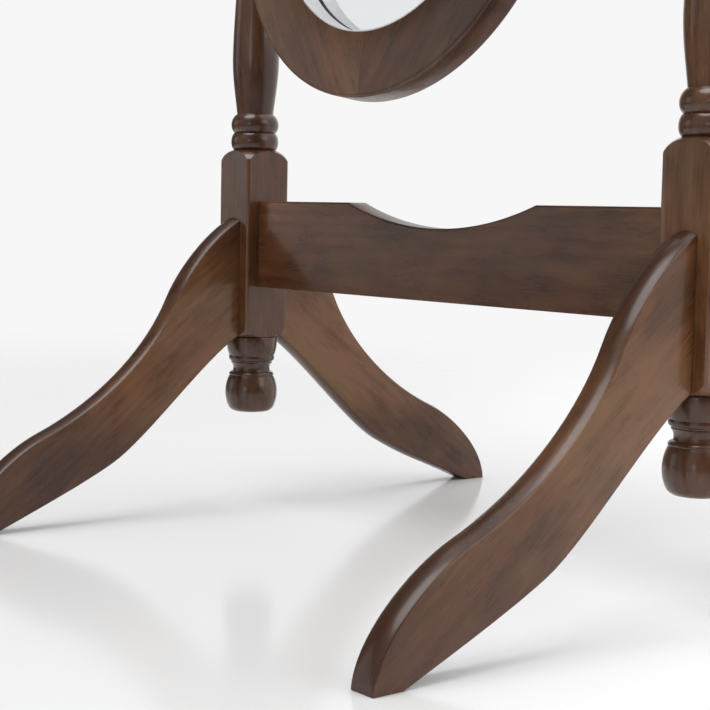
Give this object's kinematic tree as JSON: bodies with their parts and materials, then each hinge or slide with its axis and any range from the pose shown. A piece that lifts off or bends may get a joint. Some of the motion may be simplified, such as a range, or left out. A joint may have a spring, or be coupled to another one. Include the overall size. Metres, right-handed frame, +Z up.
{
  "type": "cheval floor mirror",
  "caption": "Free-standing oval mirror in a wooden frame that tilts between turned posts on curved legs, joined by a rail and held by hand knobs.",
  "frame": {"origin": "on the floor, midway between the two posts, at the centre of the footprint", "axes": "+Z up, +X from the left post to the right post as seen from the front, +Y towards the back; the mirror faces -Y"},
  "size_m": [0.571, 0.513, 1.5035],
  "materials": {
    "walnut_stain": "walnut-stained hardwood under satin lacquer",
    "beech_dowel": "bare fluted beech dowel",
    "silvered_glass": "silvered float glass",
    "pale_lining": "pale satin edging strip",
    "black_rubber": "black foam rubber",
    "hardboard": "brown hardboard",
    "zinc_steel": "zinc-plated steel",
    "brass_insert": "machined brass"
  },
  "bodies": {
    "stand": {"left_post": "walnut_stain", "left_drop_finial": "walnut_stain", "left_top_finial": "walnut_stain", "left_bolt_cover": "walnut_stain", "left_rail_bolt": "zinc_steel", "left_barrel_nut": "zinc_steel", "left_rail_dowel_lower": "beech_dowel", "left_rail_dowel_upper": "beech_dowel", "left_front_leg": "walnut_stain", "left_front_leg_dowel_lower": "beech_dowel", "left_front_leg_dowel_upper": "beech_dowel", "left_rear_leg": "walnut_stain", "left_rear_leg_dowel_lower": "beech_dowel", "left_rear_leg_dowel_upper": "beech_dowel", "right_post": "walnut_stain", "right_drop_finial": "walnut_stain", "right_top_finial": "walnut_stain", "right_bolt_cover": "walnut_stain", "right_rail_bolt": "zinc_steel", "right_barrel_nut": "zinc_steel", "right_rail_dowel_lower": "beech_dowel", "right_rail_dowel_upper": "beech_dowel", "right_front_leg": "walnut_stain", "right_front_leg_dowel_lower": "beech_dowel", "right_front_leg_dowel_upper": "beech_dowel", "right_rear_leg": "walnut_stain", "right_rear_leg_dowel_lower": "beech_dowel", "right_rear_leg_dowel_upper": "beech_dowel", "rail": "walnut_stain"},
    "mirror": {"frame_left_side": "walnut_stain", "frame_top_left": "walnut_stain", "frame_bottom_left": "walnut_stain", "left_pivot_insert": "brass_insert", "left_pivot_spacer": "black_rubber", "frame_right_side": "walnut_stain", "frame_top_right": "walnut_stain", "frame_bottom_right": "walnut_stain", "right_pivot_insert": "brass_insert", "right_pivot_spacer": "black_rubber", "sight_edge_liner": "pale_lining", "glass_gasket": "black_rubber", "mirror_glass": "silvered_glass", "backing_panel": "hardboard", "backing_screw_1": "zinc_steel", "backing_screw_2": "zinc_steel", "backing_screw_3": "zinc_steel", "backing_screw_4": "zinc_steel", "backing_screw_5": "zinc_steel", "backing_screw_6": "zinc_steel", "backing_screw_7": "zinc_steel", "backing_screw_8": "zinc_steel", "backing_screw_9": "zinc_steel", "backing_screw_10": "zinc_steel"},
    "left_knob": {"left_pivot_stud": "zinc_steel", "left_knob_washer": "zinc_steel", "left_knob": "walnut_stain"},
    "right_knob": {"right_pivot_stud": "zinc_steel", "right_knob_washer": "zinc_steel", "right_knob": "walnut_stain"}
  },
  "joints": [
    {"name": "mirror_tilt", "type": "hinge", "parent": "stand", "child": "mirror", "pos_m": [0, 0, 0.91], "axis": [1, 0, 0], "continuous": true},
    {"name": "left_knob_turn", "type": "hinge", "parent": "mirror", "child": "left_knob", "pos_m": [-0.27, 0, 0.91], "axis": [-1, 0, 0], "range_deg": [0, 360]},
    {"name": "right_knob_turn", "type": "hinge", "parent": "mirror", "child": "right_knob", "pos_m": [0.27, 0, 0.91], "axis": [1, 0, 0], "range_deg": [0, 360]}
  ]
}
